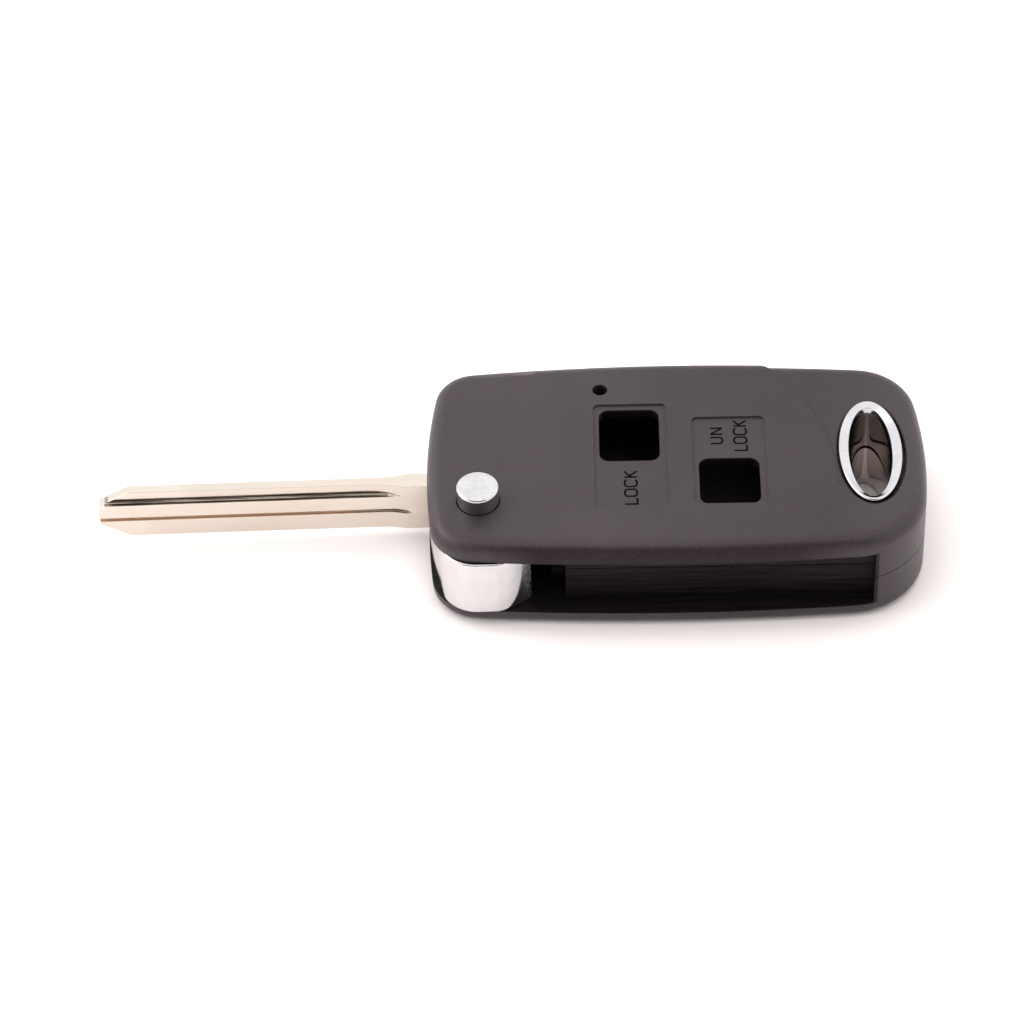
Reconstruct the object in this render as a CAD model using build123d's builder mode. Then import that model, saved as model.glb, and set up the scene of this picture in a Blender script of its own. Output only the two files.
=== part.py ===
from build123d import *
import os

os.makedirs("parts", exist_ok=True)

# Sizes in millimetres. The pivot of the blade is the Z axis and the underside of the case is z = 0.
# +X runs to the key ring end, +Y to the side away from the blade slot, +Z up.

# Case
case_height = 14.8
parting_height = 7.4
left_reach = 7.1
end_block_length = 7.7
near_reach = 9.9
far_reach = 26.75
near_bow = 1.45
far_bow = 1.65
left_near_draw = 1.3
left_far_draw = 1.8
right_near_draw = 1.8
right_far_draw = 2.2
corner_left_near = 6.4
corner_left_far = 5.6
corner_right_near = 10.6
corner_right_far = 8.5
top_round = 2.0
underside_round = 1.7
outer_wall = 1.6
top_wall = 1.6
floor_wall = 1.6
seam_depth = 0.12
seam_half_height = 0.06

# Sculpted lower field of the top face, placed from the key ring end of the case
sculpt_far_drop = 0.5
sculpt_near_drop = 0.12
sculpt_far_run = 22.8
sculpt_bend = (-15.9, 17.6)
sculpt_turn = (-12.3, 3.2)
sculpt_foot = (-7.6, -1.2)
sculpt_end_y = -0.3

# Blade slot and the round cavity of the flip head
slot_floor = 2.4
slot_ceiling = 11.9
slot_back = 6.1
slot_wall = 1.3
slot_end_gap = 1.2
head_pocket_reach = 11.7
head_pocket_back = 2.6
cavity_gap = 0.35
cavity_wall = 1.2
face_gap = 0.1

# Flip head: its two flanks are bowed, and the middle of each bow is off to one side
head_half_length = 6.85
head_half_width = 9.45
head_sweep = 9.72
head_round = 5.2
head_flank_radius = 46.0
head_flank_middle = 6.0
head_edge_round = 0.3

# Blade, standing on edge
blade_tip_reach = 52.4
blade_height = 8.2
blade_thickness = 2.4
blade_offset = 6.5
blade_nose_height = 3.4
blade_nose_length = 4.2
blade_nose_round = 0.7
top_strip_height = 1.85
top_strip_depth = 0.65
top_strip_end = 15.5
top_cutter_radius = 21.0
top_cutter_edge = 0.22
groove_top = 4.24
groove_height = 1.06
groove_depth = 0.8
low_strip_depth = 0.45
low_strips_end = 13.2
low_cutter_radius = 11.0
tang_height = 4.6
tang_thickness = 1.8
tang_end = 2.6
open_lean = 1.4

# Roll pin of the blade
pin_radius = 0.9
pin_place = -1.6
pin_inner_end = 5.2
pin_recess = 0.25
pin_chamfer = 0.15
fit = 0.03

# Release button, its catch and the spring
button_radius = 2.9
button_proud = 2.75
button_round = 0.4
button_gap = 0.1
button_flange_radius = 3.9
button_flange_height = 0.9
button_travel = 1.5
hub_radius = 4.2
hub_bore = 3.5
hub_top = 6.9
hub_cup_floor = 1.8
bearing_gap = 0.05
upper_hub_depth = 1.0
catch_ring_floor = 7.5
catch_ring_height = 0.8
catch_ring_bore = 3.15
catch_height = 1.1
catch_radius = 3.1
ear_reach = 4.05
ear_width = 2.0
ear_gap = 0.15
stem_radius = 1.2
stem_length = 2.2
spring_radius = 2.6
spring_wire = 0.6
spring_turns = 4

# Lock and unlock windows, each in a shallow field: centre x, centre y, size x, size y
window_round = 1.4
field_depth = 0.25
field_round = 0.8
lock_window = (20.75, 12.2, 8.3, 9.9)
lock_field = (20.9, 8.1, 10.1, 19.9)
unlock_window = (34.3, 3.15, 8.3, 8.7)
unlock_field = (34.4, 7.0, 10.1, 16.6)
lamp_place = (16.85, 20.95)
lamp_hole_radius = 1.05

# Key ring hole and its two metal liners. The upper rim is a shallow funnel with a bevel inside it.
ring_from_end = 7.6
ring_middle_y = 8.15
ring_hole_half_width = 2.65
ring_hole_half_length = 8.15
liner_wall = 0.9
rim_reach = (0.8, 0.5)
rim_land = 0.35
liner_proud = 0.3
liner_rim_height = 1.3
liner_round = 0.3
funnel_fall = 0.42
bevel_width = 0.35
bevel_depth = 0.62
liner_pocket_gap = 0.3
liner_pocket_shift = (0.12, -0.05)
liner_seam = 0.25

# Case screws, from the underside: one beside the pivot and one placed from the key ring end
pivot_screw_place = (2.6, 18.0)
end_screw_from_end = 10.3
end_screw_y = 21.0
screw_boss_radius = 2.7
screw_shank_radius = 1.0
screw_head_radius = 1.75
screw_head_height = 1.2
screw_head_chamfer = 0.3
screw_recess = 0.35
screw_length = 10.4
screw_slip = 0.2
screw_cross_length = 2.2
screw_cross_width = 0.6
screw_cross_depth = 0.6

# Electronics bay
bay_from_end = 14.3
cell_place = (33.0, 11.5)
cell_radius = 10.1
cell_ring_wall = 0.9
cell_ring_height = 1.4
cell_ring_break = 10.0
board_rest_start = 14.0
board_rest_height = 3.2
board_rest_width = 1.0
board_rest_length = 10.0

# How far a cutting shape runs past what it cuts
overcut = 1.0

# Worked out from the sizes above
slot_end = blade_tip_reach + slot_end_gap
right_reach = slot_end + end_block_length
cavity_radius = head_sweep + cavity_gap
near_corner_y = near_bow - near_reach
far_corner_y = far_reach - far_bow
blade_back = blade_offset + blade_thickness
blade_shoulder = head_half_length + fit
mouth_top_y = blade_back + cavity_gap
slot_middle = (slot_floor + slot_ceiling) / 2
blade_floor = slot_middle - blade_height / 2
blade_top = blade_floor + blade_height
blade_middle_y = blade_offset + blade_thickness / 2
head_floor = slot_floor + face_gap
head_height = slot_ceiling - slot_floor - 2 * face_gap
button_hole_radius = button_radius + button_gap
button_top = case_height + button_proud
upper_hub_floor = slot_ceiling - upper_hub_depth
flange_top = upper_hub_floor - face_gap
catch_floor = catch_ring_floor - 2 * face_gap - catch_height
catch_top = catch_floor + catch_height
notch_width = ear_width + 2 * ear_gap
head_bore = hub_radius + bearing_gap
bay_near_y = slot_wall - slot_back
bay_end = right_reach - bay_from_end
ring_place = (right_reach - ring_from_end, ring_middle_y)
pocket_place = (ring_place[0] + liner_pocket_shift[0], ring_place[1] + liner_pocket_shift[1])
liner_half_width = ring_hole_half_width + liner_wall
liner_half_length = ring_hole_half_length + liner_wall
rim_half_width = liner_half_width + rim_reach[0]
rim_half_length = liner_half_length + rim_reach[1]
liner_top = case_height + liner_proud
liner_seat = liner_top - liner_rim_height
screw_places = (pivot_screw_place, (right_reach - end_screw_from_end, end_screw_y))
outline_reach = right_reach + left_reach
middle_x = (right_reach - left_reach) / 2
middle_y = (far_corner_y + near_corner_y) / 2


def case_section(inset):
    """The plan of the case, drawn in by an even margin: four bowed sides and four round corners."""
    left_near = (left_near_draw - left_reach + inset, near_corner_y + inset)
    right_near = (right_reach - right_near_draw - inset, near_corner_y + inset)
    right_far = (right_reach - right_far_draw - inset, far_corner_y - inset)
    left_far = (left_far_draw - left_reach + inset, far_corner_y - inset)
    with BuildSketch() as section:
        with BuildLine():
            ThreePointArc(left_near, (middle_x, inset - near_reach), right_near)
            ThreePointArc(right_near, (right_reach - inset, middle_y), right_far)
            ThreePointArc(right_far, (middle_x, far_reach - inset), left_far)
            ThreePointArc(left_far, (inset - left_reach, middle_y), left_near)
        make_face()
        for corner, radius in (
            (left_near, corner_left_near),
            (right_near, corner_right_near),
            (left_far, corner_left_far),
            (right_far, corner_right_far),
        ):
            fillet(section.vertices().sort_by_distance(corner)[0], radius - inset)
    return section.sketch


case_plan = case_section(0)

# A frame from just inside the plan outwards, cut out of both halves to leave the seam.
with BuildSketch() as seam_plan:
    with Locations((middle_x, middle_y)):
        Rectangle(2 * outline_reach, outline_reach)
    add(case_section(seam_depth), mode=Mode.SUBTRACT)

# The plan of the slot, the head's pocket and the mouth at the blade end.
with BuildSketch() as mechanism_plan:
    Circle(cavity_radius)
    with Locations((0, -near_reach - overcut)):
        Rectangle(slot_end, near_reach + overcut - slot_back, align=(Align.MIN, Align.MIN))
        Rectangle(head_pocket_reach, near_reach + overcut - head_pocket_back, align=(Align.MIN, Align.MIN))
        Rectangle(left_reach + overcut, near_reach + overcut + mouth_top_y, align=(Align.MAX, Align.MIN))

# The plan of the hollow for the electronics, clear of the mechanism and the screw bosses.
with BuildSketch() as bay_plan:
    add(case_section(outer_wall))
    with Locations((bay_end, 0)):
        Rectangle(outline_reach, outline_reach, align=(Align.MIN, Align.CENTER), mode=Mode.SUBTRACT)
    with Locations((0, bay_near_y)):
        Rectangle(2 * outline_reach, outline_reach, align=(Align.CENTER, Align.MAX), mode=Mode.SUBTRACT)
    Circle(cavity_radius + cavity_wall, mode=Mode.SUBTRACT)
    with Locations((0, mouth_top_y + cavity_wall)):
        Rectangle(outline_reach, outline_reach, align=(Align.MAX, Align.MAX), mode=Mode.SUBTRACT)
    Rectangle(head_pocket_reach + cavity_wall, near_reach, align=(Align.MIN, Align.MAX), mode=Mode.SUBTRACT)
    with Locations(*screw_places):
        Circle(screw_boss_radius, mode=Mode.SUBTRACT)

with BuildSketch() as liner_plan:
    with Locations(ring_place):
        Ellipse(liner_half_width + fit, liner_half_length + fit)

with BuildSketch() as liner_pocket_plan:
    with Locations(pocket_place):
        Ellipse(rim_half_width + liner_pocket_gap, rim_half_length + liner_pocket_gap)


# Upper casing. The flat top and the sculpted top are two blanks with the same rounded edge,
# and the sculpted one takes the place of the flat one past a curved line.
with BuildPart(Plane.XY.offset(parting_height)) as flat_blank:
    add(case_plan)
    extrude(amount=case_height - parting_height)
    fillet(flat_blank.faces().sort_by(Axis.Z)[-1].edges(), top_round)

sculpt_slope = (sculpt_far_drop - sculpt_near_drop) / (far_reach - sculpt_end_y)
with BuildPart(Plane.XY.offset(parting_height)) as sculpted_blank:
    add(case_plan)
    extrude(amount=case_height - parting_height + top_round)
    sculpt_face = Plane(
        origin=(0, sculpt_end_y, case_height - sculpt_near_drop),
        x_dir=(1, 0, 0),
        z_dir=(0, sculpt_slope, 1),
    )
    split(bisect_by=sculpt_face, keep=Keep.BOTTOM)
    fillet(sculpted_blank.faces().sort_by(Axis.Z)[-1].edges(), top_round)

with BuildSketch(Plane(origin=(right_reach, 0, 0))) as sculpt_plan:
    with BuildLine():
        sweep_down = ThreePointArc((-sculpt_far_run, far_reach), sculpt_bend, sculpt_turn)
        TangentArc(sculpt_turn, sculpt_foot, tangent=sweep_down % 1)
        Polyline(
            sculpt_foot,
            (overcut, sculpt_end_y),
            (overcut, far_reach + overcut),
            (-sculpt_far_run, far_reach + overcut),
            (-sculpt_far_run, far_reach),
        )
    make_face()

with BuildPart() as sculpted_end:
    add(sculpted_blank.part)
    with BuildSketch(Plane.XY):
        add(sculpt_plan.sketch)
    extrude(amount=2 * case_height, mode=Mode.INTERSECT)

with BuildPart() as upper_casing:
    add(flat_blank.part)
    with BuildSketch(Plane.XY):
        add(sculpt_plan.sketch)
    extrude(amount=2 * case_height, mode=Mode.SUBTRACT)
    add(sculpted_end.part)
    # Hollows
    with BuildSketch(Plane.XY.offset(parting_height)):
        add(bay_plan.sketch)
    extrude(amount=case_height - top_wall - parting_height, mode=Mode.SUBTRACT)
    with BuildSketch(Plane.XY.offset(parting_height)):
        add(mechanism_plan.sketch)
    extrude(amount=slot_ceiling - parting_height, mode=Mode.SUBTRACT)
    # Bearing ring for the flip head, and the hole for the release button
    with BuildSketch(Plane.XY.offset(slot_ceiling)):
        Circle(hub_radius)
    extrude(amount=-upper_hub_depth)
    with BuildSketch(Plane.XY.offset(upper_hub_floor)):
        Circle(button_hole_radius)
    extrude(amount=case_height, mode=Mode.SUBTRACT)
    # Shallow fields, windows and the lamp hole
    for centre_x, centre_y, size_x, size_y in (lock_field, unlock_field):
        with BuildSketch(Plane.XY.offset(case_height - field_depth)):
            with Locations((centre_x, centre_y)):
                RectangleRounded(size_x, size_y, field_round)
        extrude(amount=case_height, mode=Mode.SUBTRACT)
    for centre_x, centre_y, size_x, size_y in (lock_window, unlock_window):
        with BuildSketch(Plane.XY.offset(parting_height)):
            with Locations((centre_x, centre_y)):
                RectangleRounded(size_x, size_y, window_round)
        extrude(amount=case_height, mode=Mode.SUBTRACT)
    with BuildSketch(Plane.XY.offset(parting_height)):
        with Locations(lamp_place):
            Circle(lamp_hole_radius)
    extrude(amount=case_height, mode=Mode.SUBTRACT)
    # Key ring hole with a step that carries the liner's rim
    with BuildSketch(Plane.XY.offset(parting_height)):
        add(liner_plan.sketch)
    extrude(amount=case_height, mode=Mode.SUBTRACT)
    with BuildSketch(Plane.XY.offset(liner_seat)):
        add(liner_pocket_plan.sketch)
    extrude(amount=case_height, mode=Mode.SUBTRACT)
    # Screw pilot holes and the seam
    with BuildSketch(Plane.XY.offset(parting_height)):
        with Locations(*screw_places):
            Circle(screw_shank_radius + fit)
    extrude(amount=screw_recess + screw_head_height + screw_length - parting_height, mode=Mode.SUBTRACT)
    with BuildSketch(Plane.XY.offset(parting_height)):
        add(seam_plan.sketch)
        with Locations((head_pocket_reach, -slot_back)):
            Rectangle(slot_end - head_pocket_reach, seam_depth, align=(Align.MIN, Align.MIN))
    extrude(amount=seam_half_height, mode=Mode.SUBTRACT)


# Lower casing
with BuildPart() as lower_casing:
    with BuildSketch(Plane.XY):
        add(case_plan)
    extrude(amount=parting_height)
    fillet(lower_casing.faces().sort_by(Axis.Z)[0].edges(), underside_round)
    with BuildSketch(Plane.XY.offset(floor_wall)):
        add(bay_plan.sketch)
    extrude(amount=parting_height, mode=Mode.SUBTRACT)
    with BuildSketch(Plane.XY.offset(slot_floor)):
        add(mechanism_plan.sketch)
    extrude(amount=parting_height, mode=Mode.SUBTRACT)
    # Hub that the flip head turns on, with a cup for the spring and two guides for the catch
    with BuildSketch(Plane.XY.offset(slot_floor)):
        Circle(hub_radius)
    extrude(amount=hub_top - slot_floor)
    with BuildSketch(Plane.XY.offset(hub_cup_floor)):
        Circle(hub_bore)
    extrude(amount=parting_height, mode=Mode.SUBTRACT)
    with BuildSketch(Plane.XY.offset(catch_floor - button_travel - ear_gap)):
        Rectangle(2 * cavity_radius, notch_width)
    extrude(amount=parting_height, mode=Mode.SUBTRACT)
    # Ring for the coin cell and rests for the circuit board
    with BuildSketch(Plane.XY.offset(floor_wall)):
        with Locations(cell_place):
            Circle(cell_radius + cell_ring_wall)
            Circle(cell_radius, mode=Mode.SUBTRACT)
            Rectangle(outline_reach, cell_ring_break, mode=Mode.SUBTRACT)
    extrude(amount=cell_ring_height)
    with BuildSketch(Plane.XY.offset(floor_wall)):
        with Locations((board_rest_start, middle_y), (bay_end - board_rest_width, middle_y)):
            Rectangle(board_rest_width, board_rest_length)
    extrude(amount=board_rest_height)
    # Key ring hole with a step for the lower liner
    with BuildSketch(Plane.XY):
        add(liner_plan.sketch)
    extrude(amount=parting_height, mode=Mode.SUBTRACT)
    with BuildSketch(Plane.XY):
        add(liner_pocket_plan.sketch)
    extrude(amount=liner_rim_height - liner_proud + face_gap, mode=Mode.SUBTRACT)
    # Screw holes, sunk for the heads, and the seam
    with BuildSketch(Plane.XY):
        with Locations(*screw_places):
            Circle(screw_shank_radius + screw_slip)
    extrude(amount=parting_height, mode=Mode.SUBTRACT)
    with BuildSketch(Plane.XY):
        with Locations(*screw_places):
            Circle(screw_head_radius + screw_slip)
    extrude(amount=screw_recess + screw_head_height, mode=Mode.SUBTRACT)
    with BuildSketch(Plane.XY.offset(parting_height)):
        add(seam_plan.sketch)
        with Locations((head_pocket_reach, -slot_back)):
            Rectangle(slot_end - head_pocket_reach, seam_depth, align=(Align.MIN, Align.MIN))
    extrude(amount=-seam_half_height, mode=Mode.SUBTRACT)


# Liners of the key ring hole: an oval tube with a rim outside each face of the case
with BuildPart() as upper_liner:
    with BuildSketch(Plane.XY.offset(parting_height + liner_seam)):
        with Locations(ring_place):
            Ellipse(liner_half_width, liner_half_length)
    extrude(amount=liner_top - parting_height - liner_seam)
    with BuildSketch(Plane.XY.offset(liner_seat)):
        with Locations(ring_place):
            Ellipse(rim_half_width, rim_half_length)
    extrude(amount=liner_rim_height)
    fillet(upper_liner.faces().sort_by(Axis.Z)[-1].edges(), liner_round)
    with BuildSketch(Plane.XY):
        with Locations(ring_place):
            Ellipse(ring_hole_half_width, ring_hole_half_length)
    extrude(amount=2 * case_height, mode=Mode.SUBTRACT)
    # The funnel, then the bevel below it
    with BuildSketch(Plane.XY.offset(liner_top)):
        with Locations(ring_place):
            Ellipse(rim_half_width - rim_land, rim_half_length - rim_land)
    with BuildSketch(Plane.XY.offset(liner_top - funnel_fall)):
        with Locations(ring_place):
            Ellipse(ring_hole_half_width + bevel_width, ring_hole_half_length + bevel_width)
    loft(mode=Mode.SUBTRACT)
    with BuildSketch(Plane.XY.offset(liner_top - funnel_fall)):
        with Locations(ring_place):
            Ellipse(ring_hole_half_width + bevel_width, ring_hole_half_length + bevel_width)
    with BuildSketch(Plane.XY.offset(liner_top - funnel_fall - bevel_depth)):
        with Locations(ring_place):
            Ellipse(ring_hole_half_width, ring_hole_half_length)
    loft(mode=Mode.SUBTRACT)

with BuildPart() as lower_liner:
    with BuildSketch(Plane.XY.offset(face_gap)):
        with Locations(ring_place):
            Ellipse(liner_half_width, liner_half_length)
    extrude(amount=parting_height - liner_seam - face_gap)
    with BuildSketch(Plane.XY.offset(face_gap)):
        with Locations(ring_place):
            Ellipse(rim_half_width, rim_half_length)
    extrude(amount=liner_rim_height - liner_proud)
    with BuildSketch(Plane.XY):
        with Locations(ring_place):
            Ellipse(ring_hole_half_width, ring_hole_half_length)
    extrude(amount=case_height, mode=Mode.SUBTRACT)
    fillet(lower_liner.faces().sort_by(Axis.Z)[0].edges(), liner_round)


# Flip head: each flank is a shallow bow that ends in a round corner on one side and in the circle
# that the head sweeps on the other, so that the head looks the same after half a turn.
with BuildSketch() as head_plan:
    Rectangle(2 * head_flank_radius, 2 * head_half_width)
    for side in (1, -1):
        with Locations((side * (head_flank_radius - head_half_length), side * head_flank_middle)):
            Circle(head_flank_radius, mode=Mode.INTERSECT)
    for side in (1, -1):
        round_corner = (-side * head_half_length, -side * head_half_width)
        fillet(head_plan.vertices().sort_by_distance(round_corner)[0], head_round)
    Circle(head_sweep, mode=Mode.INTERSECT)

with BuildPart() as straight_head:
    with BuildSketch(Plane.XY.offset(head_floor)):
        add(head_plan.sketch)
    extrude(amount=head_height)
    outer_rims = straight_head.faces().filter_by(Axis.Z).edges()
    fillet(outer_rims, head_edge_round)
    with BuildSketch(Plane.XY):
        Circle(head_bore)
    extrude(amount=case_height, mode=Mode.SUBTRACT)
    # The ring that the catch locks into, with a notch for each ear
    with BuildSketch(Plane.XY.offset(catch_ring_floor)):
        Circle(head_bore + 2 * fit)
        Circle(catch_ring_bore, mode=Mode.SUBTRACT)
        Rectangle(2 * head_sweep, notch_width, mode=Mode.SUBTRACT)
    extrude(amount=catch_ring_height)
    # Socket for the blade's tang and the hole of its pin
    with BuildSketch(Plane.YZ.offset(tang_end + fit)):
        with Locations((blade_offset + tang_thickness / 2, slot_middle)):
            Rectangle(tang_thickness + 2 * fit, tang_height + 2 * fit)
    extrude(amount=-case_height, mode=Mode.SUBTRACT)
    with BuildSketch(Plane.XZ.offset(-pin_inner_end + fit)):
        with Locations((pin_place, slot_middle)):
            Circle(pin_radius + fit)
    extrude(amount=-case_height, mode=Mode.SUBTRACT)


# Blade: a flat bar with a pointed nose, milled on both faces. The two faces are alike when the
# bar is turned half a turn about its length.
nose_side = (blade_height - blade_nose_height) / 2
with BuildPart() as blade_bar:
    with BuildSketch(Plane.XZ.offset(-blade_offset)):
        with BuildLine():
            Polyline(
                (-blade_shoulder, blade_floor),
                (blade_nose_length - blade_tip_reach, blade_floor),
                (-blade_tip_reach, blade_floor + nose_side),
                (-blade_tip_reach, blade_top - nose_side),
                (blade_nose_length - blade_tip_reach, blade_top),
                (-blade_shoulder, blade_top),
                close=True,
            )
        make_face()
    extrude(amount=-blade_thickness)
    nose_edges = blade_bar.edges().filter_by(Axis.Y).group_by(Axis.X)[0]
    fillet(nose_edges, blade_nose_round)
    with BuildSketch(Plane.XZ.offset(-blade_offset)):
        with Locations((-blade_shoulder, slot_middle)):
            Rectangle(tang_end + blade_shoulder, tang_height, align=(Align.MIN, Align.CENTER))
    extrude(amount=-tang_thickness)


def strip_plan(depth, end, radius):
    """The plan of a milled strip: a straight cut along the bar that runs out in the arc of the cutter."""
    with BuildSketch() as plan:
        with Locations((-end, blade_offset + depth - radius)):
            Circle(radius)
        with Locations((-end, blade_offset + depth)):
            Rectangle(blade_tip_reach, radius, align=(Align.MAX, Align.MAX))
        with Locations((-blade_tip_reach - overcut, blade_offset - overcut)):
            Rectangle(blade_tip_reach, radius, align=(Align.MIN, Align.MIN), mode=Mode.INTERSECT)
    return plan.sketch


with BuildPart() as milling:
    # Strip along the top edge, with a small radius left in its inner corner
    with BuildSketch(Plane.XY.offset(blade_top - top_strip_height)):
        add(strip_plan(top_strip_depth, top_strip_end, top_cutter_radius))
    extrude(amount=top_strip_height + overcut)
    fillet(milling.faces().sort_by(Axis.Z)[0].edges().sort_by(Axis.Y)[-2:], top_cutter_edge)
    # Narrow groove, and the wide low strip below it
    with BuildSketch(Plane.XY.offset(blade_top - groove_top - groove_height)):
        add(strip_plan(groove_depth, low_strips_end, low_cutter_radius))
    extrude(amount=groove_height)
    with BuildSketch(Plane.XY.offset(blade_floor - overcut)):
        add(strip_plan(low_strip_depth, low_strips_end, low_cutter_radius))
    extrude(amount=blade_height - groove_top - groove_height + overcut)

with BuildPart() as straight_blade:
    add(blade_bar.part)
    add(milling.part, mode=Mode.SUBTRACT)
    turn_axis = Axis((0, blade_middle_y, slot_middle), (1, 0, 0))
    add(milling.part.rotate(turn_axis, 180), mode=Mode.SUBTRACT)
    with BuildSketch(Plane.XZ.offset(-blade_offset)):
        with Locations((pin_place, slot_middle)):
            Circle(pin_radius + fit)
    extrude(amount=-blade_thickness, mode=Mode.SUBTRACT)

with BuildPart() as straight_pin:
    with BuildSketch(Plane.XZ.offset(-pin_inner_end)):
        with Locations((pin_place, slot_middle)):
            Circle(pin_radius)
    extrude(amount=pin_inner_end + pin_recess - head_half_width)
    chamfer(straight_pin.edges(), pin_chamfer)

# The open blade stands a little towards the slot side, in the play of its catch.
with BuildPart() as flip_head:
    add(straight_head.part, rotation=(0, 0, open_lean))

with BuildPart() as blade:
    add(straight_blade.part, rotation=(0, 0, open_lean))

with BuildPart() as blade_pin:
    add(straight_pin.part, rotation=(0, 0, open_lean))


# Release button: a round cap on a stem, held down by a flange under the bearing ring
with BuildPart() as release_button:
    with BuildSketch(Plane.XY.offset(catch_top)):
        Circle(button_radius)
    extrude(amount=button_top - catch_top)
    with BuildSketch(Plane.XY.offset(flange_top - button_flange_height)):
        Circle(button_flange_radius)
    extrude(amount=button_flange_height)
    fillet(release_button.faces().sort_by(Axis.Z)[-1].edges(), button_round)
    with BuildSketch(Plane.XY.offset(catch_top)):
        Circle(stem_radius + fit)
    extrude(amount=stem_length + face_gap, mode=Mode.SUBTRACT)

# Catch: a disc with two ears that run in the hub's guides, pressed into the button
with BuildPart() as catch:
    with BuildSketch(Plane.XY.offset(catch_floor)):
        Circle(catch_radius)
        Rectangle(2 * ear_reach, ear_width)
    extrude(amount=catch_height)
    with BuildSketch(Plane.XY.offset(catch_top)):
        Circle(stem_radius)
    extrude(amount=stem_length)

# Coil spring in the hub's cup
spring_room = catch_floor - hub_cup_floor
spring_lift = spring_room - spring_wire - 2 * fit
with BuildPart() as flip_spring:
    with BuildLine(Plane.XY.offset(hub_cup_floor + spring_wire / 2 + fit)) as coil:
        Helix(pitch=spring_lift / spring_turns, height=spring_lift, radius=spring_radius)
    with BuildSketch(Plane(origin=coil.line @ 0, z_dir=coil.line % 0)):
        Circle(spring_wire / 2)
    sweep(path=coil.line, is_frenet=True)


# Case screws: a pan head with a cross and a shank
case_screws = []
for place in screw_places:
    with BuildPart() as case_screw:
        with BuildSketch(Plane.XY.offset(screw_recess)):
            with Locations(place):
                Circle(screw_head_radius)
        extrude(amount=screw_head_height)
        chamfer(case_screw.faces().sort_by(Axis.Z)[0].edges(), screw_head_chamfer)
        with BuildSketch(Plane.XY.offset(screw_recess + screw_head_height)):
            with Locations(place):
                Circle(screw_shank_radius)
        extrude(amount=screw_length - face_gap)
        with BuildSketch(Plane.XY.offset(screw_recess)):
            with Locations(place):
                Rectangle(screw_cross_length, screw_cross_width)
                Rectangle(screw_cross_width, screw_cross_length)
        extrude(amount=screw_cross_depth, mode=Mode.SUBTRACT)
    case_screws.append(case_screw)


upper_casing.part.label = "upper_casing"
export_step(upper_casing.part, "parts/upper_casing.step")

lower_casing.part.label = "lower_casing"
export_step(lower_casing.part, "parts/lower_casing.step")

upper_liner.part.label = "upper_liner"
export_step(upper_liner.part, "parts/upper_liner.step")

lower_liner.part.label = "lower_liner"
export_step(lower_liner.part, "parts/lower_liner.step")

flip_head.part.label = "flip_head"
export_step(flip_head.part, "parts/flip_head.step")

blade.part.label = "blade"
export_step(blade.part, "parts/blade.step")

blade_pin.part.label = "blade_pin"
export_step(blade_pin.part, "parts/blade_pin.step")

release_button.part.label = "release_button"
export_step(release_button.part, "parts/release_button.step")

catch.part.label = "catch"
export_step(catch.part, "parts/catch.step")

flip_spring.part.label = "flip_spring"
export_step(flip_spring.part, "parts/flip_spring.step")

for number, case_screw in enumerate(case_screws, start=1):
    case_screw.part.label = f"case_screw_{number}"
    export_step(case_screw.part, f"parts/case_screw_{number}.step")
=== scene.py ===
# %% [markdown]
# # Dressing a folding car key case
# The case of a folding car key lies flat with its blade swung out: two halves of satin black plastic,
# a chromed head that carries a nickel plated blade, a chromed release button, and a bright oval liner
# in the key ring hole. Every one of those pieces comes from CAD at its true size. This lesson gives
# them their finishes, adds the legends beside the windows, and sets the light and the camera.
#
# The first step loads the CAD pieces, each where CAD placed it.

# %% Load the frame
from math import cos, pi, radians, sin

import bpy
import numpy as np
from mathutils import Matrix, Vector


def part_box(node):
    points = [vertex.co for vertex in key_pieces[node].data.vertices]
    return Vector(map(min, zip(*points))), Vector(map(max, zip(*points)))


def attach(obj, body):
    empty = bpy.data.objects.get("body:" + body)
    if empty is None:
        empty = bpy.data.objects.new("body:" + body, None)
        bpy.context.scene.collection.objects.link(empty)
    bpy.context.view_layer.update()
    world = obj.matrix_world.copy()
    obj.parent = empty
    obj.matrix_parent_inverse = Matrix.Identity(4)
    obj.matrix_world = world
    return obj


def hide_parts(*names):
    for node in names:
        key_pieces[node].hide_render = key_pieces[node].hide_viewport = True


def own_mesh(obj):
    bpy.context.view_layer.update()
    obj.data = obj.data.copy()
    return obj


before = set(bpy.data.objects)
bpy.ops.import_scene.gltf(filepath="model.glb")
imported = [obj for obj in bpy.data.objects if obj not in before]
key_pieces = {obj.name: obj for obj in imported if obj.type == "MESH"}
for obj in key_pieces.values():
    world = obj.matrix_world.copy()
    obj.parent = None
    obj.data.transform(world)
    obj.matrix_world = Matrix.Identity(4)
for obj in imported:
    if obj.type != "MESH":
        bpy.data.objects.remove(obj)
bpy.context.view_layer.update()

print("pieces from CAD:", ", ".join(sorted(key_pieces)))

# %% [markdown]
# ## Camera
# The picture was taken with a long lens from about 46 degrees above the table, so the sides of the
# case hardly draw together. Blender could aim a camera with a Track To constraint, but a small roll
# and a small turn of the key on the table are easier to write as three directions at right angles:
# the way the lens looks, the right of the picture and the top of the picture.

# %% Camera
lens_height = radians(46.0)
picture_roll = radians(1.9)
key_turn = radians(-1.3)
lens_distance = 0.6162
aim_point = np.array((0.00456, 0.01187, 0.0))
sensor_width = 36.0
focal_pixels = 4400
picture_pixels = 1024
nearest_seen, farthest_seen = 0.01, 20.0

looking = np.array((0.0, cos(lens_height), -sin(lens_height)))
level = np.array((1.0, 0.0, 0.0))
upright = np.array((0.0, sin(lens_height), cos(lens_height)))
picture_right = cos(picture_roll) * level - sin(picture_roll) * upright
picture_up = sin(picture_roll) * level + cos(picture_roll) * upright
undo_turn = np.array(Matrix.Rotation(-key_turn, 3, "Z"))

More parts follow.
